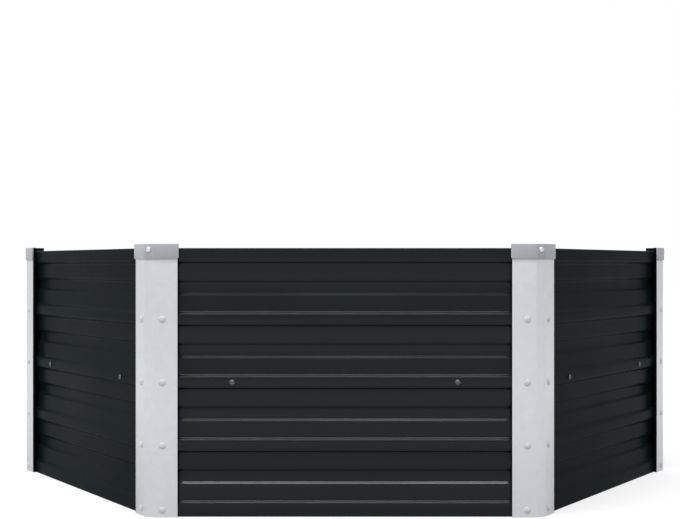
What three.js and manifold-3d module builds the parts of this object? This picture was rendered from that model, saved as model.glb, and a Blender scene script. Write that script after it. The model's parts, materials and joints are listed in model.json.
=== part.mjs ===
// Hexagonal raised garden bed: six ribbed steel panels bolted between six corner posts.
// Millimetres, +Z up. The origin is on the ground under the centre and one corner points to +X.
import * as THREE from 'three';
import { mergeVertices } from 'three/addons/utils/BufferGeometryUtils.js';
import Module from 'manifold-3d';

const wasm = await Module();
wasm.setup();

// Whole bed
const sideCount = 6;
const widthOverPosts = 1290;
const bedHeight = 450;
const contactGap = 0.3;

// Corner post: a galvanised strip bent twice, so that a narrow flat faces outwards
const postLeg = 50;
const postThickness = 1;
const postBevelWidth = 18;

// Side panel: sheet with stepped ribs, drawn a little thicker than the real sheet
const sheetThickness = 0.8;
const panelHeight = 443.5;
const panelInset = 7;
const ribPitch = 104;
const topRidgeCentre = 429.7;
const ridgeHeight = 20.6;
const valleyHeight = 21;
const shelfDepth = 7;
const shelfRise = 4.4;
const valleyDepth = 4;
const valleyRise = 4.1;
const ribCount = 4;
const rimDepth = 5;
const rimDrop = 7;
const footHemDepth = 2.3;
const footHemHeight = 7.5;

// Corner channel: a black extrusion under the post, with a slot for the end of each panel
const channelLeg = 49;
const channelTop = panelHeight;
const channelInnerLip = 2.5;
const channelWeb = 2;
const slotFloor = 16;
const slotStart = panelInset - contactGap;
const slotEnd = panelInset + shelfDepth + valleyDepth + sheetThickness + contactGap;
const channelDepth = slotEnd + channelInnerLip;

// Corner cap: a thin cover over the top of the post, returned over the strip's upper edge
const capHeight = 25;
const capPlate = 2;
const capWall = 1.7;
const capOverhang = capWall + contactGap;
const capTopChamfer = 1;
const capCornerCut = 2.5;
const postHeight = bedHeight - capPlate - contactGap;

// Corner bolts: one in each ridge under the top one, and the lowest in the middle of the foot ridge
const boltFromVertex = 25;
const boltHeadRadius = 5;
const boltHeadHeight = 3;
const boltShankRadius = 3;
const nutRadius = 5.8;
const nutThickness = 5;
const footRidgeTop = topRidgeCentre - ribCount * ribPitch + ridgeHeight / 2;
const footBoltHeight = footRidgeTop / 2;

// Cap screw and brace screws
const screwHeadRadius = 4.6;
const screwHeadHeight = 2.8;
const screwShankRadius = 2.2;
const capScrewDrop = 9.5;
const capScrewLength = 14;
const braceScrewLength = 10;
const braceNutRadius = 4.6;
const braceNutThickness = 3.5;

// Corner brace: a flat bar across each inside corner, held in the third ridge
const braceFromVertex = 139;
const braceTab = 26;
const braceHeight = 14;
const braceThickness = 3;
const braceLevel = topRidgeCentre - 2 * ribPitch;
const braceSeat = panelInset + sheetThickness + contactGap;

// Screw heads are low domes, and the holes under them are six-sided like the nuts
const domeShoulder = 0.7;
const domeWaist = 0.7;
const roundSides = 8;
const hexagonSides = 6;
const cutReach = 30;

const turn = (2 * Math.PI) / sideCount;
const bevelCut = postBevelWidth / (2 * Math.sin(turn));
const vertexRadius = widthOverPosts / 2 + bevelCut * Math.cos(turn);
const sideApothem = vertexRadius * Math.cos(turn / 2);
const halfSide = vertexRadius * Math.sin(turn / 2);
const holeClearance = 0.8;

const material = (color, roughness, metalness) =>
  new THREE.MeshStandardMaterial({ color, roughness, metalness });
const paintedSheet = material('#2b3033', 0.45, 0.3);
const galvanisedSteel = material('#c6c9cd', 0.5, 0.8);
const blackPlastic = material('#101112', 0.6, 0);
const greyPlastic = material('#a9acaf', 0.55, 0);
const zincPlate = material('#d2d4d6', 0.35, 0.9);

// Solids for cutting and joining

function toSolid(geometry) {
  const bare = geometry.index ? geometry.toNonIndexed() : geometry.clone();
  bare.deleteAttribute('normal');
  bare.deleteAttribute('uv');
  const merged = mergeVertices(bare, 1e-4);
  return new wasm.Manifold(new wasm.Mesh({
    numProp: 3,
    vertProperties: new Float32Array(merged.attributes.position.array),
    triVerts: new Uint32Array(merged.index.array),
  }));
}

function toGeometry(solid) {
  const mesh = solid.getMesh();
  const geometry = new THREE.BufferGeometry();
  geometry.setAttribute('position', new THREE.BufferAttribute(new Float32Array(mesh.vertProperties), 3));
  geometry.setIndex(new THREE.BufferAttribute(new Uint32Array(mesh.triVerts), 1));
  geometry.computeVertexNormals();
  return geometry;
}

// A solid that passes through outlines of equal point count at rising heights.
function loftSolid(levels) {
  const count = levels[0].outline.length;
  const positions = levels.flatMap(({ outline, z }) => outline.flatMap((point) => [point.x, point.y, z]));
  const lid = THREE.ShapeUtils.triangulateShape(levels[0].outline, []);
  const top = (levels.length - 1) * count;
  const indices = lid.flatMap(([a, b, c]) => [a, c, b, top + a, top + b, top + c]);
  for (let level = 0; level < levels.length - 1; level += 1) {
    for (let i = 0; i < count; i += 1) {
      const a = level * count + i;
      const b = level * count + ((i + 1) % count);
      indices.push(a, b, b + count, a, b + count, a + count);
    }
  }
  const geometry = new THREE.BufferGeometry();
  geometry.setAttribute('position', new THREE.Float32BufferAttribute(positions, 3));
  geometry.setIndex(indices);
  return toSolid(geometry);
}

function prismSolid(outline, bottom, top) {
  const counterClockwise = THREE.ShapeUtils.isClockWise(outline) ? [...outline].reverse() : outline;
  return loftSolid([{ outline: counterClockwise, z: bottom }, { outline: counterClockwise, z: top }]);
}

// A round solid on the X axis, from its half section as [distance along X, radius].
function turnedSolid(section, sides = roundSides) {
  const profile = section.map(([along, radius]) => new THREE.Vector2(radius, along));
  return toSolid(new THREE.LatheGeometry(profile, sides).rotateZ(-Math.PI / 2));
}

const rodSolid = (start, end, radius, sides = roundSides) =>
  turnedSolid([[start, 0], [start, radius], [end, radius], [end, 0]], sides);

const drillSolid = (start, end, shankRadius) => rodSolid(start, end, shankRadius + holeClearance, hexagonSides);

// A dome-headed screw with its seat at x = 0 and its shank towards -X.
function screwSolid(headRadius, headHeight, shankRadius, shankLength) {
  return turnedSolid([
    [-shankLength, 0],
    [-shankLength, shankRadius],
    [0, shankRadius],
    [0, headRadius],
    [headHeight * domeShoulder, headRadius * domeWaist],
    [headHeight, 0],
  ]);
}

// Corner frame: the origin is the sharp meeting point of two outer faces and +X points outwards.
// A point lies on leg +1 or -1, so far along the outer face and so deep behind it.
function cornerPoint(along, depth, leg) {
  const across = along * Math.sin(turn) - depth * Math.cos(turn);
  return new THREE.Vector2(-along * Math.cos(turn) - depth * Math.sin(turn), leg * across);
}

const bevelPoint = (depth, leg) => {
  const along = bevelCut + 2 * depth * (1 - Math.cos(turn / 2));
  return cornerPoint(along, depth, leg);
};

// The V-shaped band between two depths, with the flat at the bend.
function cornerBand(outerDepth, innerDepth, leg) {
  return [
    cornerPoint(leg, outerDepth, -1),
    bevelPoint(outerDepth, -1),
    bevelPoint(outerDepth, 1),
    cornerPoint(leg, outerDepth, 1),
    cornerPoint(leg, innerDepth, 1),
    bevelPoint(innerDepth, 1),
    bevelPoint(innerDepth, -1),
    cornerPoint(leg, innerDepth, -1),
  ];
}

const bandOnLeg = (fromAlong, toAlong, fromDepth, toDepth, leg) => [
  cornerPoint(fromAlong, fromDepth, leg),
  cornerPoint(toAlong, fromDepth, leg),
  cornerPoint(toAlong, toDepth, leg),
  cornerPoint(fromAlong, toDepth, leg),
];

// Moves a solid made on the X axis to the outer face of a leg, pointing out of it.
function onLeg(solid, along, depth, height, leg) {
  const seat = cornerPoint(along, depth, leg);
  const degrees = THREE.MathUtils.radToDeg(turn / 2) * leg;
  return solid.rotate([0, 0, degrees]).translate([seat.x, seat.y, height]);
}

const boltLevels = [footBoltHeight];
for (let row = ribCount - 1; row > 0; row -= 1) boltLevels.push(topRidgeCentre - row * ribPitch);
const legs = [1, -1];
const boltPlaces = legs.flatMap((leg) => boltLevels.map((level) => ({ leg, level })));

function makeCornerPost() {
  const nutStart = channelDepth + contactGap;
  const shankLength = nutStart + nutThickness / 2;
  const screw = screwSolid(boltHeadRadius, boltHeadHeight, boltShankRadius, shankLength);
  const nut = rodSolid(-nutStart - nutThickness, -nutStart, nutRadius, hexagonSides);
  const bolt = screw.add(nut);
  const strip = prismSolid(cornerBand(0, postThickness, postLeg), 0, postHeight);
  const bolts = boltPlaces.map(({ leg, level }) => onLeg(bolt, boltFromVertex, 0.1, level, leg));
  const post = bolts.reduce((body, item) => body.add(item), strip);
  return post.subtract(capScrewHole());
}

function capScrewHole() {
  const level = bedHeight - capScrewDrop;
  return drillSolid(-cutReach, cutReach, screwShankRadius).translate([0, 0, level]);
}

// Only the channel's outer lip rises above the panels, to the top of the bed.
function makeCornerChannel() {
  const start = postThickness + contactGap;
  const body = prismSolid(cornerBand(start, channelDepth, channelLeg), 0, bedHeight);
  const notch = prismSolid(cornerBand(slotStart, cutReach, postLeg), channelTop, bedHeight + 1);
  const slots = legs.map((leg) =>
    prismSolid(bandOnLeg(slotFloor, postLeg + 1, slotStart, slotEnd, leg), -1, bedHeight + 1));
  const chamberEdge = slotFloor - channelWeb;
  const chamber = prismSolid([
    cornerPoint(chamberEdge, slotStart, -1),
    bevelPoint(slotStart, -1),
    bevelPoint(slotStart, 1),
    cornerPoint(chamberEdge, slotStart, 1),
    cornerPoint(chamberEdge, slotEnd, 1),
    cornerPoint(chamberEdge, slotEnd, -1),
  ], -1, bedHeight + 1);
  const drill = drillSolid(-cutReach, cutReach, boltShankRadius);
  const holes = boltPlaces.map(({ leg, level }) => onLeg(drill, boltFromVertex, 0, level, leg));
  const cuts = [notch, ...slots, chamber, ...holes, capScrewHole()];
  return cuts.reduce((left, cut) => left.subtract(cut), body);
}

function makeCornerCap() {
  const outline = (shrink) =>
    cornerBand(-capOverhang + shrink, postThickness, postLeg + capOverhang - shrink);
  const bottom = bedHeight - capHeight;
  const shell = loftSolid([
    { outline: outline(0), z: bottom },
    { outline: outline(0), z: bedHeight - capTopChamfer },
    { outline: outline(capTopChamfer), z: bedHeight },
  ]);
  const cavity = prismSolid(
    cornerBand(-contactGap, postThickness + 1, postLeg + cutReach), bottom - 1, bedHeight - capPlate);
  const cornerCuts = legs.map((leg) => onLeg(makeCornerCut(), postLeg + capOverhang, 0, bottom, leg));
  return [cavity, ...cornerCuts, capScrewHole()].reduce((left, cut) => left.subtract(cut), shell);
}

// A square bar on its edge, for the slanted lower corners of the cap.
function makeCornerCut() {
  const half = capCornerCut;
  const diamond = [[half, 0], [0, half], [-half, 0], [0, -half]].map(([x, y]) => new THREE.Vector2(x, y));
  return prismSolid(diamond, -cutReach, cutReach).rotate([0, 90, 0]);
}

function makeCapScrew() {
  const screw = screwSolid(screwHeadRadius, screwHeadHeight, screwShankRadius, capScrewLength);
  const seat = bevelPoint(-capOverhang - contactGap, 1).x;
  return screw.translate([seat, 0, bedHeight - capScrewDrop]);
}

function makeCornerBrace() {
  const bend = braceFromVertex - braceTab / 2;
  const tip = braceFromVertex + braceTab / 2;
  const back = braceSeat + braceThickness;
  const bendShift = braceThickness * Math.tan(turn / 4);
  const outline = [
    cornerPoint(tip, braceSeat, 1),
    cornerPoint(tip, back, 1),
    cornerPoint(bend + bendShift, back, 1),
    cornerPoint(bend + bendShift, back, -1),
    cornerPoint(tip, back, -1),
    cornerPoint(tip, braceSeat, -1),
    cornerPoint(bend, braceSeat, -1),
    cornerPoint(bend, braceSeat, 1),
  ];
  const bar = prismSolid(outline, braceLevel - braceHeight / 2, braceLevel + braceHeight / 2);
  const drill = drillSolid(-cutReach, cutReach, screwShankRadius);
  const holes = legs.map((leg) => onLeg(drill, braceFromVertex, 0, braceLevel, leg));
  return holes.reduce((left, hole) => left.subtract(hole), bar);
}

function makeBraceScrew(leg) {
  const screw = screwSolid(screwHeadRadius, screwHeadHeight, screwShankRadius, braceScrewLength);
  return onLeg(screw, braceFromVertex, panelInset - contactGap, braceLevel, leg);
}

function makeBraceNut(leg) {
  const thread = rodSolid(-cutReach, cutReach, screwShankRadius + contactGap);
  const nut = rodSolid(-braceNutThickness, 0, braceNutRadius, hexagonSides).subtract(thread);
  const seat = braceSeat + braceThickness + contactGap;
  return onLeg(nut, braceFromVertex, seat, braceLevel, leg);
}

// Side frame: +X points out of the side, from the centre of the bed, and Y runs along the side.

// The line of the sheet's outer face, as points of depth behind the post face and height.
function panelLine() {
  const ridge = panelInset;
  const shelf = ridge + shelfDepth;
  const valley = shelf + valleyDepth;
  const line = [[ridge + footHemDepth, footHemHeight], [ridge + footHemDepth, 0], [ridge, 0]];
  for (let rib = ribCount; rib > 0; rib -= 1) {
    const ridgeEdge = topRidgeCentre - rib * ribPitch + ridgeHeight / 2;
    const middle = topRidgeCentre - (rib - 0.5) * ribPitch;
    const rising = [
      [ridge, ridgeEdge - shelfRise / 2],
      [shelf, ridgeEdge + shelfRise / 2],
      [shelf, middle - valleyHeight / 2 - valleyRise / 2],
      [valley, middle - valleyHeight / 2 + valleyRise / 2],
    ];
    const mirrored = rising.map(([depth, height]) => [depth, 2 * middle - height]).reverse();
    line.push(...rising, ...mirrored);
  }
  const rollSteps = 3;
  const rollRadius = rimDepth / 2;
  for (let step = 0; step <= rollSteps; step += 1) {
    const angle = (step / rollSteps) * Math.PI;
    const depth = ridge + rollRadius - rollRadius * Math.cos(angle);
    line.push([depth, panelHeight - rollRadius + rollRadius * Math.sin(angle)]);
  }
  line.push([ridge + rimDepth, panelHeight - rimDrop]);
  return line.map(([depth, height]) => new THREE.Vector2(sideApothem - depth, height));
}

// Closes a line into a band of sheet whose other face is offset to the line's right.
function sheetBand(line, thickness) {
  const normals = line.slice(1).map((point, i) => {
    const direction = point.clone().sub(line[i]).normalize();
    return new THREE.Vector2(direction.y, -direction.x);
  });
  const offset = line.map((point, i) => {
    const before = normals[Math.max(i - 1, 0)];
    const after = normals[Math.min(i, normals.length - 1)];
    const mitre = before.clone().add(after).normalize();
    return point.clone().addScaledVector(mitre, thickness / mitre.dot(after));
  });
  return [...line, ...offset.reverse()];
}

function makeSidePanel() {
  const length = 2 * (halfSide - slotFloor - contactGap);
  const profile = new THREE.Shape(sheetBand(panelLine(), -sheetThickness));
  const geometry = new THREE.ExtrudeGeometry(profile, { depth: length, bevelEnabled: false });
  geometry.rotateX(Math.PI / 2).translate(0, length / 2, 0);
  const sheet = toSolid(geometry);
  const ridgeFace = sideApothem - panelInset;
  const hole = (shankRadius, across, level) =>
    drillSolid(ridgeFace - 3, ridgeFace + 3, shankRadius).translate([0, across, level]);
  const holes = legs.flatMap((end) => [
    ...boltLevels.map((level) => hole(boltShankRadius, end * (halfSide - boltFromVertex), level)),
    hole(screwShankRadius, end * (halfSide - braceFromVertex), braceLevel),
  ]);
  return holes.reduce((left, cut) => left.subtract(cut), sheet);
}

// Assembly

const bed = new THREE.Group();

function addPart(group, name, geometry, look) {
  const mesh = new THREE.Mesh(geometry, look);
  mesh.name = name;
  group.add(mesh);
}

const cornerParts = [
  ['corner_post', makeCornerPost(), galvanisedSteel],
  ['corner_channel', makeCornerChannel(), blackPlastic],
  ['corner_cap', makeCornerCap(), greyPlastic],
  ['cap_screw', makeCapScrew(), zincPlate],
  ['corner_brace', makeCornerBrace(), galvanisedSteel],
  ['brace_screw_a', makeBraceScrew(1), zincPlate],
  ['brace_screw_b', makeBraceScrew(-1), zincPlate],
  ['brace_nut_a', makeBraceNut(1), zincPlate],
  ['brace_nut_b', makeBraceNut(-1), zincPlate],
].map(([name, solid, look]) => ({ name, geometry: toGeometry(solid), look }));

const panelGeometry = toGeometry(makeSidePanel());

for (let index = 0; index < sideCount; index += 1) {
  const number = index + 1;
  const corner = new THREE.Group();
  corner.position.set(vertexRadius * Math.cos(index * turn), vertexRadius * Math.sin(index * turn), 0);
  corner.rotation.z = index * turn;
  for (const { name, geometry, look } of cornerParts) addPart(corner, `${name}_${number}`, geometry, look);
  const side = new THREE.Group();
  side.rotation.z = (index + 0.5) * turn;
  addPart(side, `side_panel_${number}`, panelGeometry, paintedSheet);
  bed.add(corner, side);
}

export default bed;
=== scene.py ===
# Hexagonal raised garden bed: ribbed painted steel panels between galvanised corner posts.
import json
import math

import bmesh
import bpy
from mathutils import Matrix, Vector

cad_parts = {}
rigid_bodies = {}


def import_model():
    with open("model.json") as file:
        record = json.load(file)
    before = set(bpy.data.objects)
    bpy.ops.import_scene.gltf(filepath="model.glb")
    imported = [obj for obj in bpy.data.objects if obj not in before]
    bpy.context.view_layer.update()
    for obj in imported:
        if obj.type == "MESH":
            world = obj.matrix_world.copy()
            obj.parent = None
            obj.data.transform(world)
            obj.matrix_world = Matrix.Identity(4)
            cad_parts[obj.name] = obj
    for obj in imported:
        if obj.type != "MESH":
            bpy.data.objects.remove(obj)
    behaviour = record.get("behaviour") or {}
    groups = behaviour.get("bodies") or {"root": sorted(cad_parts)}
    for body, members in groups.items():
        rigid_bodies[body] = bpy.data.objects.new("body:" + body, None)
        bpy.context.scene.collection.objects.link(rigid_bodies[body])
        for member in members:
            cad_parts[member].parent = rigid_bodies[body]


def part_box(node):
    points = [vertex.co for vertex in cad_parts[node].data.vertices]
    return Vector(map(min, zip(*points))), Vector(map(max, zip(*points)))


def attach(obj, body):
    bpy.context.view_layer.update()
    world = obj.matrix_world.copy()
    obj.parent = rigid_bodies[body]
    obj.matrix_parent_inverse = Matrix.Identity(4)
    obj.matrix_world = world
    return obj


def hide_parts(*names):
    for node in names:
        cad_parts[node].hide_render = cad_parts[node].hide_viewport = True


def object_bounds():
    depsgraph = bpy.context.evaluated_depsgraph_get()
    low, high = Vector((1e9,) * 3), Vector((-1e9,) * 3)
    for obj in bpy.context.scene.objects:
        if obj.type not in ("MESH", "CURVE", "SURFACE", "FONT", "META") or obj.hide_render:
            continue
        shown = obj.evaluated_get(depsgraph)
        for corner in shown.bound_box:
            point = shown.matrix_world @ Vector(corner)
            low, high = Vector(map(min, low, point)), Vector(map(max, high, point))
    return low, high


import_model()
cadLow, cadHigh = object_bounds()

mm = 0.001
sides = 6
turn = math.tau / sides
bearing = 0.3 * mm                     # parts that bear on each other stay this far apart
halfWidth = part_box("corner_post_1")[1].x
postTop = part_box("corner_post_1")[1].z
bedTop = cadHigh.z
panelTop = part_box("side_panel_2")[1].z
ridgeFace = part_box("side_panel_2")[1].y  # side 2 faces +Y, so this is its outermost ridge
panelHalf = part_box("side_panel_2")[1].x

# the flat at each post's bend, how far behind the posts' faces the panels lie, and where two neighbouring
# faces would meet if there were no flat
bend = {"flatWidth": 18 * mm, "panelInset": 7 * mm}
bevelCut = bend["flatWidth"] / (2 * math.sin(turn))
vertexRadius = halfWidth + bevelCut * math.cos(turn)


def dropSelection():
    if bpy.context.object and bpy.context.object.mode != "OBJECT":
        bpy.ops.object.mode_set(mode="OBJECT")
    bpy.ops.object.select_all(action="DESELECT")


def takeUp(piece):
    # only this piece is selected and active
    dropSelection()
    bpy.context.view_layer.objects.active = piece
    piece.select_set(True)


def nameNew(name):
    piece = bpy.context.object
    piece.name = name
    piece.data.name = name
    return piece


def pick(piece, test):
    # in edit mode: selects every vertex that passes, and the edges and faces between them
    bpy.ops.mesh.select_mode(type="VERT")
    bpy.ops.mesh.select_all(action="DESELECT")
    mesh = bmesh.from_edit_mesh(piece.data)
    for vertex in mesh.verts:
        if test(vertex.co):
            vertex.select = True
    mesh.select_flush(True)
    bmesh.update_edit_mesh(piece.data)


def pickEdges(piece, test):
    bpy.ops.mesh.select_mode(type="EDGE")
    bpy.ops.mesh.select_all(action="DESELECT")
    mesh = bmesh.from_edit_mesh(piece.data)
    mesh.normal_update()
    for edge in mesh.edges:
        if test(edge):
            edge.select = True
    mesh.select_flush_mode()
    bmesh.update_edit_mesh(piece.data)


def drop(edge):
    # how far one end of the edge lies below the other
    return abs(edge.verts[0].co.z - edge.verts[1].co.z)


def openEdit(piece):
    takeUp(piece)
    bpy.ops.object.mode_set(mode="EDIT")
    bpy.ops.mesh.select_mode(type="VERT")
    bpy.ops.mesh.select_all(action="DESELECT")


def closeEdit():
    bpy.ops.object.mode_set(mode="OBJECT")


def extrudeBy(x, y, z):
    bpy.ops.mesh.extrude_region_move(TRANSFORM_OT_translate={"value": (x, y, z)})


def settle(piece):
    # the place, turn and size go into the mesh
    takeUp(piece)
    bpy.ops.object.transform_apply(location=True, rotation=True, scale=True)


def finishWith(piece, kind, **settings):
    takeUp(piece)
    modifier = piece.modifiers.new(kind.title(), kind)
    for key, value in settings.items():
        setattr(modifier, key, value)
    bpy.ops.object.modifier_apply(modifier=modifier.name)


def smooth(piece, degrees):
    takeUp(piece)
    bpy.ops.object.shade_smooth_by_angle(angle=math.radians(degrees))


def roundEdges(piece, width, steps, degrees=30):
    finishWith(piece, "BEVEL", width=width, segments=steps, limit_method="ANGLE",
               angle_limit=math.radians(degrees), use_clamp_overlap=True)


def thicken(piece, thickness):
    # the front of an open sheet faces out of the bed, and its thickness grows inwards from there
    bpy.ops.mesh.select_all(action="SELECT")
    bpy.ops.mesh.normals_make_consistent(inside=False)
    closeEdit()
    if piece.data.polygons[0].normal.x < 0:
        piece.data.flip_normals()
    finishWith(piece, "SOLIDIFY", thickness=thickness, offset=-1, use_even_offset=True)


def cutAway(piece, cutter):
    finishWith(piece, "BOOLEAN", object=cutter, operation="DIFFERENCE", solver="EXACT")
    bpy.data.objects.remove(cutter, do_unlink=True)


def cuboid(name, low, high):
    centre = [(a + b) / 2 for a, b in zip(low, high)]
    size = [b - a for a, b in zip(low, high)]
    dropSelection()
    bpy.ops.mesh.primitive_cube_add(size=1, location=centre, scale=size)
    piece = nameNew(name)
    settle(piece)
    return piece


def uprightSheet(name, place, tall, wide, columns=1):
    # a flat sheet that faces out of the bed along +X
    dropSelection()
    bpy.ops.mesh.primitive_grid_add(x_subdivisions=1, y_subdivisions=columns, size=1, location=place,
                                    rotation=(0, math.pi / 2, 0))
    piece = nameNew(name)
    piece.scale = (tall, wide, 1)
    settle(piece)
    return piece


def joinPieces(name, pieces):
    dropSelection()
    for piece in pieces:
        piece.select_set(True)
    bpy.context.view_layer.objects.active = pieces[0]
    if len(pieces) > 1:
        bpy.ops.object.join()
    return nameNew(name)


def copyOf(piece, name, place=Matrix.Identity(4)):
    twin = piece.copy()
    twin.data = piece.data.copy()
    twin.name = name
    twin.data.name = name
    twin.data.transform(place)
    bpy.context.collection.objects.link(twin)
    return twin


def discard(*pieces):
    for piece in pieces:
        bpy.data.objects.remove(piece, do_unlink=True)


# Corner frame: the outer faces' sharp meeting line is the Z axis and +X points out of the bed.
# A place is on leg +1 or -1, so far along the outer face and so deep behind it.
def cornerPlace(along, depth, leg):
    across = along * math.sin(turn) - depth * math.cos(turn)
    return Vector((-along * math.cos(turn) - depth * math.sin(turn), leg * across, 0))


def toLeg(along, depth, leg, height):
    place = cornerPlace(along, depth, leg)
    place.z = height
    return Matrix.Translation(place) @ Matrix.Rotation(leg * turn / 2, 4, "Z")


def cornerMatrix(index):
    return Matrix.Rotation(index * turn, 4, "Z") @ Matrix.Translation((vertexRadius, 0, 0))


def sideMatrix(index):
    return Matrix.Rotation((index + 0.5) * turn, 4, "Z")


def linear(hexColour):
    channels = [int(hexColour[i:i + 2], 16) / 255 for i in (1, 3, 5)]
    return [c / 12.92 if c <= 0.04045 else ((c + 0.055) / 1.055) ** 2.4 for c in channels] + [1]


def newMaterial(name):
    material = bpy.data.materials.new(name)
    material.use_nodes = True
    tree = material.node_tree
    return material, tree, tree.nodes["Principled BSDF"]


def setNode(tree, node, settings, links):
    # a key is one of the node's settings, or the name or number of a socket: on a Mix node of colours, 6 and
    # 7 take the two colours and output 2 gives their mix
    for key, value in settings.items():
        if isinstance(key, str) and hasattr(node, key):
            setattr(node, key, value)
        else:
            node.inputs[key].default_value = value
    for key, source in links.items():
        tree.links.new(source, node.inputs[key])


def addNode(tree, kind, settings, links):
    node = tree.nodes.new(kind)
    setNode(tree, node, settings, links)
    return node


def perMetre(size):
    # noise and cell patterns repeat about once per unit, so this makes one repeat that many mm long
    return 1 / (size * mm)


# noise stays mostly between these values; the sizes, reaches and depths of the patterns are in mm
noiseLow, noiseHigh = 0.3, 0.7

# Polyester powder coat on steel: satin, with a fine orange peel, faint clouds in its colour and gloss, and a
# lighter colour on what faces up, partly dust and partly painted light from above
coat = {"colour": "#0e1618", "dustAndLitColour": "#162022", "dustAndLitShare": 0.2, "dustAndLitSize": 3.5, "dustAndLitFrom": 0.3,
        "cloudSize": 160, "cloudShare": 0.12, "roughness": 0.17, "smoother": 0.04, "rougher": 0.06,
        "specular": 0.165, "sideSpecular": 0.0055, "sideDulling": 0.12, "sideFrom": 0.36, "sideTo": 0.56,
        "peelSize": 1.6, "peelDepth": 0.02, "peelStrength": 0.25}


def powderCoat():
    material, tree, shader = newMaterial("anthracitePowderCoat")
    place = addNode(tree, "ShaderNodeTexCoord", {}, {}).outputs["Object"]
    cloud = addNode(tree, "ShaderNodeTexNoise", {"Scale": perMetre(coat["cloudSize"]), "Detail": 4},
                    {"Vector": place}).outputs["Fac"]
    speck = addNode(tree, "ShaderNodeTexNoise", {"Scale": perMetre(coat["dustAndLitSize"]), "Detail": 3},
                    {"Vector": place}).outputs["Fac"]
    facing = addNode(tree, "ShaderNodeNewGeometry", {}, {}).outputs["Normal"]
    upward = addNode(tree, "ShaderNodeSeparateXYZ", {}, {"Vector": facing}).outputs["Z"]
    # painted light: what faces up gets a lighter colour, partly dust and partly light falling from above
    dustAndLitUpward = addNode(tree, "ShaderNodeMapRange",
                    {"From Min": coat["dustAndLitFrom"], "From Max": 1, "To Max": coat["dustAndLitShare"]},
                    {"Value": upward}).outputs["Result"]
    dustAndLit = addNode(tree, "ShaderNodeMath", {"operation": "MULTIPLY"}, {0: dustAndLitUpward, 1: speck}).outputs["Value"]
    tint = addNode(tree, "ShaderNodeMapRange",
                   {"From Min": noiseLow, "From Max": noiseHigh, "To Max": coat["cloudShare"]},
                   {"Value": cloud}).outputs["Result"]
    share = addNode(tree, "ShaderNodeMath", {"operation": "ADD"}, {0: tint, 1: dustAndLit}).outputs["Value"]
    colour = addNode(tree, "ShaderNodeMix",
                     {"data_type": "RGBA", 6: linear(coat["colour"]), 7: linear(coat["dustAndLitColour"])},
                     {0: share}).outputs[2]
    rough = addNode(tree, "ShaderNodeMapRange",
                    {"From Min": noiseLow, "From Max": noiseHigh,
                     "To Min": coat["roughness"] - coat["smoother"],
                     "To Max": coat["roughness"] + coat["rougher"]}, {"Value": cloud}).outputs["Result"]
    # the coat's texture scatters what strikes it at a low angle, so it stays dull from the side
    aside = addNode(tree, "ShaderNodeLayerWeight", {}, {}).outputs["Facing"]
    duller = addNode(tree, "ShaderNodeMapRange",
                     {"From Min": coat["sideFrom"], "From Max": coat["sideTo"],
                      "To Max": coat["sideDulling"]}, {"Value": aside}).outputs["Result"]
    gloss = addNode(tree, "ShaderNodeMapRange",
                    {"From Min": coat["sideFrom"], "From Max": coat["sideTo"], "To Min": coat["specular"],
                     "To Max": coat["sideSpecular"]}, {"Value": aside}).outputs["Result"]
    total = addNode(tree, "ShaderNodeMath", {"operation": "ADD"}, {0: rough, 1: duller}).outputs["Value"]
    peel = addNode(tree, "ShaderNodeTexNoise", {"Scale": perMetre(coat["peelSize"]), "Detail": 1},
                   {"Vector": place}).outputs["Fac"]
    bump = addNode(tree, "ShaderNodeBump",
                   {"Strength": coat["peelStrength"], "Distance": coat["peelDepth"] * mm},
                   {"Height": peel}).outputs["Normal"]
    setNode(tree, shader, {}, {"Base Color": colour, "Specular IOR Level": gloss, "Roughness": total,
                               "Normal": bump})
    return material


# Hot-dip galvanised strip: crystals of zinc a few mm wide with wavy borders, each a little different in shade
# and gloss, under a fine grain
zinc = {"colour": "#c2c4c8", "darkColour": "#bec0c4", "roughness": 0.46, "spread": 0.02, "spangleSize": 9,
        "waveSize": 7, "waveReach": 4, "grainSize": 0.5, "grainShare": 0.3, "reliefDepth": 0.02,
        "reliefStrength": 0.05}


def galvanised():
    material, tree, shader = newMaterial("galvanisedSteel")
    place = addNode(tree, "ShaderNodeTexCoord", {}, {}).outputs["Object"]
    wave = addNode(tree, "ShaderNodeTexNoise", {"Scale": perMetre(zinc["waveSize"]), "Detail": 3},
                   {"Vector": place}).outputs["Color"]
    reach = addNode(tree, "ShaderNodeVectorMath", {"operation": "SCALE", "Scale": zinc["waveReach"] * mm},
                    {0: wave}).outputs["Vector"]
    shifted = addNode(tree, "ShaderNodeVectorMath", {"operation": "ADD"},
                      {0: place, 1: reach}).outputs["Vector"]
    spangle = addNode(tree, "ShaderNodeTexVoronoi", {"Scale": perMetre(zinc["spangleSize"])},
                      {"Vector": shifted}).outputs["Color"]
    shade = addNode(tree, "ShaderNodeSeparateColor", {}, {"Color": spangle})
    grain = addNode(tree, "ShaderNodeTexNoise", {"Scale": perMetre(zinc["grainSize"]), "Detail": 2},
                    {"Vector": place}).outputs["Fac"]
    blend = addNode(tree, "ShaderNodeMix", {"data_type": "FLOAT", 0: zinc["grainShare"]},
                    {2: shade.outputs["Red"], 3: grain}).outputs[0]
    colour = addNode(tree, "ShaderNodeMix",
                     {"data_type": "RGBA", 6: linear(zinc["colour"]), 7: linear(zinc["darkColour"])},
                     {0: blend}).outputs[2]
    rough = addNode(tree, "ShaderNodeMapRange",
                    {"To Min": zinc["roughness"] - zinc["spread"],
                     "To Max": zinc["roughness"] + zinc["spread"]},
                    {"Value": shade.outputs["Green"]}).outputs["Result"]
    bump = addNode(tree, "ShaderNodeBump",
                   {"Strength": zinc["reliefStrength"], "Distance": zinc["reliefDepth"] * mm},
                   {"Height": blend}).outputs["Normal"]
    setNode(tree, shader, {"Metallic": 1}, {"Base Color": colour, "Roughness": rough, "Normal": bump})
    return material


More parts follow.
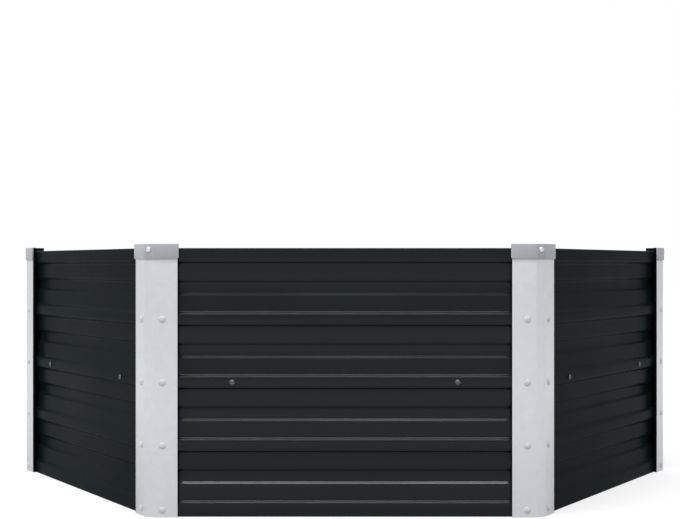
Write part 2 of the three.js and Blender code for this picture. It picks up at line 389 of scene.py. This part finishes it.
# Extruded black PVC: dull, with faint die lines along its length; its colour is darker than the plastic's
# own, painted shade of the gap between each post's leg and the panels
pvc = {"colour": "#060607", "scuffColour": "#0e0f10", "roughness": 0.55, "specular": 0.05, "lineWidth": 1.2,
       "lineStretch": 0.02, "lineDepth": 0.03, "lineStrength": 0.2}


def extrudedPvc():
    material, tree, shader = newMaterial("extrudedBlackPvc")
    place = addNode(tree, "ShaderNodeTexCoord", {}, {}).outputs["Object"]
    stretched = addNode(tree, "ShaderNodeMapping", {"Scale": (1, 1, pvc["lineStretch"])},
                        {"Vector": place}).outputs["Vector"]
    lines = addNode(tree, "ShaderNodeTexNoise", {"Scale": perMetre(pvc["lineWidth"]), "Detail": 2},
                    {"Vector": stretched}).outputs["Fac"]
    colour = addNode(tree, "ShaderNodeMix",
                     {"data_type": "RGBA", 6: linear(pvc["colour"]), 7: linear(pvc["scuffColour"])},
                     {0: lines}).outputs[2]
    bump = addNode(tree, "ShaderNodeBump",
                   {"Strength": pvc["lineStrength"], "Distance": pvc["lineDepth"] * mm},
                   {"Height": lines}).outputs["Normal"]
    setNode(tree, shader, {"Roughness": pvc["roughness"], "Specular IOR Level": pvc["specular"]},
            {"Base Color": colour, "Normal": bump})
    return material


# Injection-moulded grey ABS: a fine spark-eroded texture that keeps the highlight soft, and faint clouds in
# its colour
capPlastic = {"colour": "#b2b4ba", "shadeColour": "#acaeb4", "cloudSize": 30, "roughness": 0.5,
              "textureSize": 0.9, "textureDepth": 0.03, "textureStrength": 0.3}


def mouldedAbs():
    material, tree, shader = newMaterial("mouldedGreyAbs")
    place = addNode(tree, "ShaderNodeTexCoord", {}, {}).outputs["Object"]
    cloud = addNode(tree, "ShaderNodeTexNoise", {"Scale": perMetre(capPlastic["cloudSize"]), "Detail": 3},
                    {"Vector": place}).outputs["Fac"]
    colour = addNode(tree, "ShaderNodeMix",
                     {"data_type": "RGBA", 6: linear(capPlastic["colour"]),
                      7: linear(capPlastic["shadeColour"])}, {0: cloud}).outputs[2]
    texture = addNode(tree, "ShaderNodeTexNoise", {"Scale": perMetre(capPlastic["textureSize"]), "Detail": 2},
                      {"Vector": place}).outputs["Fac"]
    bump = addNode(tree, "ShaderNodeBump",
                   {"Strength": capPlastic["textureStrength"], "Distance": capPlastic["textureDepth"] * mm},
                   {"Height": texture}).outputs["Normal"]
    setNode(tree, shader, {"Roughness": capPlastic["roughness"]}, {"Base Color": colour, "Normal": bump})
    return material


# Zinc on turned or pressed steel, a little cloudy: bright plate on the cap screws, a dark colour on the brace
# screws and their nuts that is painted reflection of the dark surroundings they face, and a matt flake coat
# on the corner bolts and theirs
brightPlate = {"colour": "#cccecf", "dullColour": "#babdc0", "roughness": 0.36, "metal": 1}
# painted reflection: this dark colour stands for the dark surroundings that the brace screws mirror
darkReflectionPlate = {"colour": "#63676a", "dullColour": "#575b5e", "roughness": 0.45, "metal": 1}
flake = {"colour": "#d6d9dd", "dullColour": "#d0d3d7", "roughness": 0.6, "metal": 0}
plating = {"cloudSize": 4, "smoother": 0.05, "rougher": 0.1}


def zincFinish(name, finish):
    material, tree, shader = newMaterial(name)
    place = addNode(tree, "ShaderNodeTexCoord", {}, {}).outputs["Object"]
    cloud = addNode(tree, "ShaderNodeTexNoise", {"Scale": perMetre(plating["cloudSize"]), "Detail": 3},
                    {"Vector": place}).outputs["Fac"]
    colour = addNode(tree, "ShaderNodeMix",
                     {"data_type": "RGBA", 6: linear(finish["colour"]), 7: linear(finish["dullColour"])},
                     {0: cloud}).outputs[2]
    rough = addNode(tree, "ShaderNodeMapRange",
                    {"To Min": finish["roughness"] - plating["smoother"],
                     "To Max": finish["roughness"] + plating["rougher"]}, {"Value": cloud}).outputs["Result"]
    setNode(tree, shader, {"Metallic": finish["metal"]}, {"Base Color": colour, "Roughness": rough})
    return material


panelPaint = powderCoat()
galvanisedSteel = galvanised()
blackPvc = extrudedPvc()
greyAbs = mouldedAbs()
brightZinc = zincFinish("brightZincPlate", brightPlate)
darkReflectionZinc = zincFinish("darkReflectionZincPlate", darkReflectionPlate)
zincFlake = zincFinish("zincFlakeCoat", flake)
print("materials made")


def dress(piece, material):
    piece.data.materials.clear()
    piece.data.materials.append(material)
    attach(piece, "root")


# heights and depths of the pressed ribs; a bend is how far its curve reaches to each side of the sharp edge,
# and an edge that turns by more than leastTurn becomes one
panel = {"sheet": 0.8 * mm, "ribs": 4, "pitch": 104 * mm, "topRidge": 429.7 * mm, "ridge": 21.2 * mm,
         "valley": 21 * mm, "shelfDepth": 5.5 * mm, "shelfRise": 5 * mm, "valleyDepth": 4.05 * mm,
         "valleyRise": 4.1 * mm, "ridgeBend": 2.1 * mm, "valleyBend": 0.45 * mm, "shadeBend": 2.4 * mm,
         "hemDepth": 2.3 * mm, "hemHeight": 7.5 * mm, "rimDepth": 5 * mm, "rimDrop": 4.5 * mm, "columns": 12,
         "leastTurn": 0.6, "bendSteps": 6, "rimSteps": 10, "hemSteps": 8, "weld": 0.05 * mm}


def makeSidePanel():
    # a strip of the foot ridge is added first, and its top edge is drawn up through the ribs
    rise, step = panel["shelfRise"], panel["valleyRise"]
    footTop = panel["topRidge"] - panel["ribs"] * panel["pitch"] + (panel["ridge"] - rise) / 2
    piece = uprightSheet("panelPattern", (ridgeFace, 0, footTop / 2), footTop, 2 * panelHalf,
                         panel["columns"])
    openEdit(piece)
    pick(piece, lambda p: p.z > footTop - bearing)
    shelf = (panel["pitch"] - panel["ridge"] - panel["valley"] - rise - step) / 2
    for rib in range(panel["ribs"]):
        extrudeBy(-panel["shelfDepth"], 0, rise)
        extrudeBy(0, 0, shelf)
        extrudeBy(-panel["valleyDepth"], 0, step)
        extrudeBy(0, 0, panel["valley"] - step)
        extrudeBy(panel["valleyDepth"], 0, step)
        extrudeBy(0, 0, shelf)
        extrudeBy(panel["shelfDepth"], 0, rise)
        if rib < panel["ribs"] - 1:
            extrudeBy(0, 0, panel["ridge"] - rise)
    rimRadius = panel["rimDepth"] / 2
    topEdge = panel["topRidge"] - (panel["ridge"] - rise) / 2
    extrudeBy(0, 0, panelTop - rimRadius - topEdge)
    shelfFace = ridgeFace - panel["shelfDepth"]
    valleyMiddle = rise + shelf + (panel["valley"] + step) / 2

    def bendOf(edge):
        # slopes that face down have the roundest bends, and those from a shelf up into a valley the sharpest
        if (edge.verts[0].co.z - footTop + bearing) % panel["pitch"] > valleyMiddle:
            return "shadeBend"
        onRidge = min(face.calc_center_median().x for face in edge.link_faces) > shelfFace - bearing
        return "ridgeBend" if onRidge else "valleyBend"

    for bendName in ("shadeBend", "ridgeBend", "valleyBend"):
        pickEdges(piece, lambda edge: drop(edge) < bearing
                  and bearing < edge.verts[0].co.z < topEdge + bearing
                  and edge.calc_face_angle(0) > panel["leastTurn"] and bendOf(edge) == bendName)
        bpy.ops.mesh.bevel(offset=panel[bendName], segments=panel["bendSteps"], affect="EDGES")
    pick(piece, lambda p: p.z > panelTop - rimRadius - bearing)
    bpy.ops.mesh.spin(steps=panel["rimSteps"], angle=math.pi, axis=(0, 1, 0),
                      center=(ridgeFace - rimRadius, 0, panelTop - rimRadius))
    extrudeBy(0, 0, -panel["rimDrop"])
    pick(piece, lambda p: p.z < bearing)
    hemRadius = panel["hemDepth"] / 2
    bpy.ops.transform.translate(value=(0, 0, hemRadius))
    bpy.ops.mesh.spin(steps=panel["hemSteps"], angle=math.pi, axis=(0, -1, 0),
                      center=(ridgeFace - hemRadius, 0, hemRadius))
    extrudeBy(0, 0, panel["hemHeight"] - hemRadius)
    bpy.ops.mesh.select_all(action="SELECT")
    bpy.ops.mesh.remove_doubles(threshold=panel["weld"])
    thicken(piece, panel["sheet"])
    smooth(piece, degrees=40)
    return piece


panelPattern = makeSidePanel()
for index in range(sides):
    piece = copyOf(panelPattern, f"sidePanel_{index + 1}", sideMatrix(index))
    dress(piece, panelPaint)
    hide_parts(f"side_panel_{index + 1}")
discard(panelPattern)
print("side panels made")


post = {"leg": 50 * mm, "thickness": 1 * mm, "bendCut": 0.9 * mm, "edgeRound": 0.25 * mm}
# a bend's upright edges are at least this long and turn by 30 degrees, which is 0.52
uprightBend = {"leastLength": 10 * mm, "leastTurn": 0.4, "mostTurn": 0.7}


def foldedStrip(name, start, end, depth, bottom, top, thickness):
    # the flat across the corner is added first, and its two sides are drawn out along the legs
    flatEdge = cornerPlace(start, depth, 1)
    piece = uprightSheet(name, (flatEdge.x, 0, (bottom + top) / 2), top - bottom, 2 * flatEdge.y)
    openEdit(piece)
    for side in (1, -1):
        pick(piece, lambda p: p.y * side > flatEdge.y - bearing and p.x > flatEdge.x - bearing)
        reach = cornerPlace(end, depth, side) - cornerPlace(start, depth, side)
        extrudeBy(reach.x, reach.y, 0)
    thicken(piece, thickness)
    return piece


def bentStrip(name, depth, leg, bottom, top, thickness):
    # it starts where its flat lies as deep behind the post's flat as its legs behind the post's legs
    start = bevelCut + 2 * depth * (1 - math.cos(turn / 2))
    return foldedStrip(name, start, leg, depth, bottom, top, thickness)


def bevelBends(piece, cut, steps):
    openEdit(piece)
    pickEdges(piece, lambda edge: drop(edge) > uprightBend["leastLength"]
              and uprightBend["leastTurn"] < edge.calc_face_angle(0) < uprightBend["mostTurn"])
    bpy.ops.mesh.bevel(offset=cut, segments=steps, affect="EDGES")
    closeEdit()


postPattern = bentStrip("postPattern", 0, post["leg"], 0, postTop, post["thickness"])
bevelBends(postPattern, post["bendCut"], steps=4)
roundEdges(postPattern, post["edgeRound"], steps=2, degrees=60)
smooth(postPattern, degrees=35)
for index in range(sides):
    piece = copyOf(postPattern, f"cornerPost_{index + 1}", cornerMatrix(index))
    dress(piece, galvanisedSteel)
    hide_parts(f"corner_post_{index + 1}")
discard(postPattern)
print("corner posts made")


# the channels keep their CAD shape and only get their plastic
for index in range(sides):
    node = bpy.data.objects[f"corner_channel_{index + 1}"]
    node.data.materials.clear()
    node.data.materials.append(blackPvc)


# the last four are how far the cutters reach: past the cap's corners and foot, and the strip's ends and back
cap = {"height": 25 * mm, "plate": 2 * mm, "wall": 1.7 * mm, "edgeRound": 0.9 * mm, "cornerCut": 2.5 * mm,
       "bendCut": 0.8 * mm, "screwDrop": 9.5 * mm, "pastCorner": 60 * mm, "pastFoot": 5 * mm,
       "pastEnd": 9 * mm, "pastBack": 1 * mm}


def makeCornerCap():
    # a cover whose top edge returns over the strip; it is open behind and at both ends
    reach = cap["wall"] + bearing
    low = bedTop - cap["height"]
    piece = bentStrip("capPattern", -reach, post["leg"] + reach, low, bedTop, reach + post["thickness"])
    for leg in (1, -1):
        half = cap["cornerCut"] / math.sqrt(2)
        cutter = cuboid("corner", (-cap["pastCorner"], -half, -half), (cap["pastCorner"], half, half))
        lean = Matrix.Rotation(math.pi / 4, 4, "X")
        cutter.data.transform(toLeg(post["leg"] + reach, 0, leg, low) @ lean)
        cutAway(piece, cutter)
    bevelBends(piece, cap["bendCut"], steps=3)
    roundEdges(piece, cap["edgeRound"], steps=3, degrees=40)
    hollow = bentStrip("hollow", -bearing, post["leg"] + cap["pastEnd"], low - cap["pastFoot"],
                       bedTop - cap["plate"], bearing + post["thickness"] + cap["pastBack"])
    cutAway(piece, hollow)
    smooth(piece, degrees=35)
    return piece


capPattern = makeCornerCap()
for index in range(sides):
    piece = copyOf(capPattern, f"cornerCap_{index + 1}", cornerMatrix(index))
    dress(piece, greyAbs)
    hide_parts(f"corner_cap_{index + 1}")
discard(capPattern)
print("corner caps made")


bolt = {"headRadius": 6 * mm, "headHeight": 2.2 * mm, "rim": 0.5 * mm, "shankRadius": 3 * mm,
        "fromVertex": 25 * mm, "clamped": 21.6 * mm, "nutRadius": 5.8 * mm, "nutThickness": 5 * mm,
        "tail": 2 * mm}
screw = {"headRadius": 4.6 * mm, "headHeight": 2.8 * mm, "rim": 0.4 * mm, "shankRadius": 2.2 * mm,
         "nutRadius": 4.6 * mm, "nutThickness": 3.5 * mm, "tail": 1 * mm}
capScrewLength = 14 * mm
recess = {"length": 4.4 * mm, "width": 1.1 * mm, "depth": 1.8 * mm, "cutterTop": 5 * mm}
# all of them share these: how round they are, how their ends are taken off, and a nut's play on its shank
turned = {"headSides": 28, "shankSides": 16, "tailRound": 0.4 * mm, "coneSides": 32, "coneShare": 0.985,
          "coneCut": 0.9 * mm, "holePlay": 0.15 * mm, "holeReach": 1 * mm}
brace = {"fromVertex": 139 * mm, "tab": 26 * mm, "height": 14 * mm, "thickness": 3 * mm, "bendCut": 2 * mm,
         "edgeRound": 0.4 * mm}


def domeHead(name, sizes):
    # a sphere is cut at the head's rim, and the cut face is drawn back into a thin flange
    radius, height = sizes["headRadius"], sizes["headHeight"] - sizes["rim"]
    ball = (radius ** 2 + height ** 2) / (2 * height)
    dropSelection()
    bpy.ops.mesh.primitive_uv_sphere_add(segments=turned["headSides"], ring_count=turned["headSides"],
                                         radius=ball, location=(sizes["headHeight"] - ball, 0, 0),
                                         rotation=(0, math.pi / 2, 0))
    piece = nameNew(name)
    settle(piece)
    openEdit(piece)
    bpy.ops.mesh.select_all(action="SELECT")
    bpy.ops.mesh.bisect(plane_co=(sizes["rim"], 0, 0), plane_no=(1, 0, 0), use_fill=True, clear_inner=True)
    extrudeBy(-sizes["rim"], 0, 0)
    bpy.ops.mesh.select_all(action="SELECT")
    bpy.ops.mesh.normals_make_consistent(inside=False)
    closeEdit()
    return piece


def rodAlongX(name, start, end, radius, corners):
    dropSelection()
    bpy.ops.mesh.primitive_cylinder_add(vertices=corners, radius=radius, depth=end - start,
                                        location=((start + end) / 2, 0, 0), rotation=(0, math.pi / 2, 0))
    piece = nameNew(name)
    settle(piece)
    return piece


def makeBolt(name, sizes, shankLength, driven=False):
    head = domeHead("head", sizes)
    if driven:
        # the cross for the driver, cut before the shank is joined on
        low = sizes["headHeight"] - recess["depth"]
        for wide, tall in ((recess["length"], recess["width"]), (recess["width"], recess["length"])):
            slot = cuboid("slot", (low, -wide / 2, -tall / 2), (recess["cutterTop"], wide / 2, tall / 2))
            cutAway(head, slot)
    shank = rodAlongX("shank", -shankLength, sizes["rim"] / 2, sizes["shankRadius"], turned["shankSides"])
    roundEdges(shank, turned["tailRound"], steps=1)
    piece = joinPieces(name, [head, shank])
    smooth(piece, degrees=35)
    return piece


def makeNut(name, sizes):
    # a hexagon whose corners are taken off by a cone on both faces, as a turned nut's are
    low, radius = -sizes["nutThickness"], sizes["nutRadius"]
    piece = rodAlongX(name, low, 0, radius, corners=6)
    cone = rodAlongX("cone", low, 0, radius * turned["coneShare"], turned["coneSides"])
    roundEdges(cone, turned["coneCut"], steps=1, degrees=60)
    finishWith(piece, "BOOLEAN", object=cone, operation="INTERSECT", solver="EXACT")
    discard(cone)
    hole = rodAlongX("hole", low - turned["holeReach"], turned["holeReach"],
                     sizes["shankRadius"] + turned["holePlay"], turned["shankSides"])
    cutAway(piece, hole)
    smooth(piece, degrees=25)
    return piece


def ridgeLevels():
    # the bolt rows: the middle of the foot ridge, then the ridges above it but the top one
    footTop = panel["topRidge"] - panel["ribs"] * panel["pitch"] + panel["ridge"] / 2
    rows = [footTop / 2]
    for row in range(panel["ribs"] - 1, 0, -1):
        rows.append(panel["topRidge"] - row * panel["pitch"])
    return rows


nutSeat = bolt["clamped"] + bearing
boltPattern = makeBolt("boltPattern", bolt, nutSeat + bolt["nutThickness"] + bolt["tail"])
boltNutPattern = makeNut("boltNutPattern", bolt)
screwPattern = makeBolt("screwPattern", screw, capScrewLength)
braceSeat = bend["panelInset"] + panel["sheet"] + bearing
braceBack = braceSeat + brace["thickness"]
braceScrewLength = braceBack + bearing + screw["nutThickness"] + screw["tail"] - bend["panelInset"]
braceScrewPattern = makeBolt("braceScrewPattern", screw, braceScrewLength, driven=True)
braceNutPattern = makeNut("braceNutPattern", screw)
braceLevel = ridgeLevels()[2]          # the third ridge from the foot

for index in range(sides):
    corner = cornerMatrix(index)
    number = index + 1
    bolts, nuts = [], []
    for leg in (1, -1):
        for level in ridgeLevels():
            seat = corner @ toLeg(bolt["fromVertex"], 0, leg, level)
            bolts.append(copyOf(boltPattern, "bolt", seat))
            seat = corner @ toLeg(bolt["fromVertex"], nutSeat, leg, level)
            nuts.append(copyOf(boltNutPattern, "nut", seat))
    for piece in (joinPieces(f"cornerBolts_{number}", bolts), joinPieces(f"cornerNuts_{number}", nuts)):
        dress(piece, zincFlake)
    flat = cornerPlace(bevelCut, 0, 1).x + cap["wall"] + 2 * bearing
    place = corner @ Matrix.Translation((flat, 0, bedTop - cap["screwDrop"]))
    capScrew = copyOf(screwPattern, f"capScrew_{number}", place)
    dress(capScrew, brightZinc)
    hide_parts(f"cap_screw_{number}")
    for letter, leg in (("a", 1), ("b", -1)):
        seat = corner @ toLeg(brace["fromVertex"], bend["panelInset"] - bearing, leg, braceLevel)
        piece = copyOf(braceScrewPattern, f"braceScrew_{letter}_{number}", seat)
        dress(piece, darkReflectionZinc)
        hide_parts(f"brace_screw_{letter}_{number}")
        seat = corner @ toLeg(brace["fromVertex"], braceBack + bearing, leg, braceLevel)
        piece = copyOf(braceNutPattern, f"braceNut_{letter}_{number}", seat)
        dress(piece, darkReflectionZinc)
        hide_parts(f"brace_nut_{letter}_{number}")
discard(boltPattern, boltNutPattern, screwPattern, braceScrewPattern, braceNutPattern)
print("screws, bolts and nuts made")


def makeBrace():
    # a bar across the corner, with both ends bent back along the panels
    start, half = brace["fromVertex"] - brace["tab"] / 2, brace["height"] / 2
    piece = foldedStrip("bracePattern", start, start + brace["tab"], braceSeat, braceLevel - half,
                        braceLevel + half, brace["thickness"])
    bevelBends(piece, brace["bendCut"], steps=4)
    roundEdges(piece, brace["edgeRound"], steps=2, degrees=60)
    smooth(piece, degrees=35)
    return piece


bracePattern = makeBrace()
for index in range(sides):
    piece = copyOf(bracePattern, f"cornerBrace_{index + 1}", cornerMatrix(index))
    dress(piece, galvanisedSteel)
    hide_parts(f"corner_brace_{index + 1}")
discard(bracePattern)
print("corner braces made")


# The photograph is 680 by 519 pixels, and the camera was fitted to points measured in it. Its distance is to
# the faces of the front posts, and the sensor's width in mm only sets the unit of the focal length.
view = {"width": 680, "height": 519, "focalPixels": 1444.5, "distance": 2374 * mm, "eyeHeight": 414.3 * mm,
        "centreColumn": 344.9, "horizonRow": 265.5, "sensor": 36}
# powers are in watts, sizes and places in metres
light = {"worldStrength": 0.5, "ceilingPower": 145, "ceilingSize": 6, "ceilingHeight": 3.2,
         "stripPower": 145, "stripLength": 5.5, "stripWidth": 0.2, "stripHeight": 4.5, "stripForward": 1.85,
         "shift": 1.2, "leftPower": 4, "leftSize": 2, "leftPlace": (-4, 2.6, 1.3),
         "floorColour": "#a4a4a4", "floorRoughness": 0.9, "floorSize": 40, "nearGlow": 0.6,
         "farGlow": 1.0, "nearReach": 1.0, "farReach": 2.2}


def seenDirectly(tree):
    # 1 for what the camera sees, also in metal and through glass, and 0 for the light that the scene gives
    path = addNode(tree, "ShaderNodeLightPath", {}, {})
    shown = addNode(tree, "ShaderNodeMath", {"operation": "MAXIMUM"},
                    {0: path.outputs["Is Camera Ray"], 1: path.outputs["Is Glossy Ray"]}).outputs["Value"]
    return addNode(tree, "ShaderNodeMath", {"operation": "MAXIMUM"},
                   {0: shown, 1: path.outputs["Is Transmission Ray"]}).outputs["Value"]


def makeFloor():
    dropSelection()
    bpy.ops.mesh.primitive_plane_add(size=light["floorSize"], location=(0, 0, 0))
    floor = nameNew("studioFloor")
    material, tree, shader = newMaterial("paleStudioFloor")
    # the floor fades into the white of the backdrop away from the bed
    place = addNode(tree, "ShaderNodeTexCoord", {}, {}).outputs["Object"]
    away = addNode(tree, "ShaderNodeVectorMath", {"operation": "LENGTH"}, {0: place}).outputs["Value"]
    fade = addNode(tree, "ShaderNodeMapRange",
                   {"From Min": light["nearReach"], "From Max": light["farReach"],
                    "To Min": light["nearGlow"], "To Max": light["farGlow"]},
                   {"Value": away}).outputs["Result"]
    glow = addNode(tree, "ShaderNodeMath", {"operation": "MULTIPLY"},
                   {0: seenDirectly(tree), 1: fade}).outputs["Value"]
    setNode(tree, shader, {"Base Color": linear(light["floorColour"]), "Roughness": light["floorRoughness"],
                           "Emission Color": (1, 1, 1, 1)}, {"Emission Strength": glow})
    floor.data.materials.append(material)


def makeWorld():
    world = bpy.data.worlds.new("studioWorld")
    bpy.context.scene.world = world
    world.use_nodes = True
    tree = world.node_tree
    strength = addNode(tree, "ShaderNodeMapRange", {"To Min": light["worldStrength"], "To Max": 1},
                       {"Value": seenDirectly(tree)}).outputs["Result"]
    setNode(tree, tree.nodes["Background"], {"Color": (1, 1, 1, 1)}, {"Strength": strength})


def makeLamp(name, power, length, width, place, aim=(0, 0, -1)):
    # its light leaves towards aim, which is straight down unless a call says otherwise
    lamp = bpy.data.lights.new(name, "AREA")
    lamp.energy = power
    lamp.shape = "RECTANGLE"
    lamp.size = length
    lamp.size_y = width
    holder = bpy.data.objects.new(name, lamp)
    holder.location = place
    holder.rotation_euler = Vector(aim).to_track_quat("-Z", "Y").to_euler()
    bpy.context.collection.objects.link(holder)


def makeCamera():
    camera = bpy.data.cameras.new("studioCamera")
    camera.sensor_fit = "HORIZONTAL"
    camera.sensor_width = view["sensor"]
    camera.lens = view["sensor"] * view["focalPixels"] / view["width"]
    camera.shift_x = (view["width"] / 2 - view["centreColumn"]) / view["width"]
    camera.shift_y = (view["horizonRow"] - view["height"] / 2) / view["width"]
    holder = bpy.data.objects.new("studioCamera", camera)
    frontPlane = vertexRadius * math.cos(turn / 2)
    holder.location = (0, -frontPlane - view["distance"], view["eyeHeight"])
    holder.rotation_euler = (math.pi / 2, 0, 0)
    bpy.context.collection.objects.link(holder)
    bpy.context.scene.camera = holder


makeFloor()
makeWorld()
makeLamp("ceilingBox", light["ceilingPower"], light["ceilingSize"], light["ceilingSize"],
         (-light["shift"], 0, light["ceilingHeight"]))
makeLamp("frontStrip", light["stripPower"], light["stripLength"], light["stripWidth"],
         (-light["shift"], -light["stripForward"], light["stripHeight"]))
# a weak one behind the left side, for the legs that face left
makeLamp("leftBox", light["leftPower"], light["leftSize"], light["leftSize"], light["leftPlace"],
         [-c for c in light["leftPlace"]])
makeCamera()
bpy.context.scene.view_settings.view_transform = "Standard"
print("studio made")
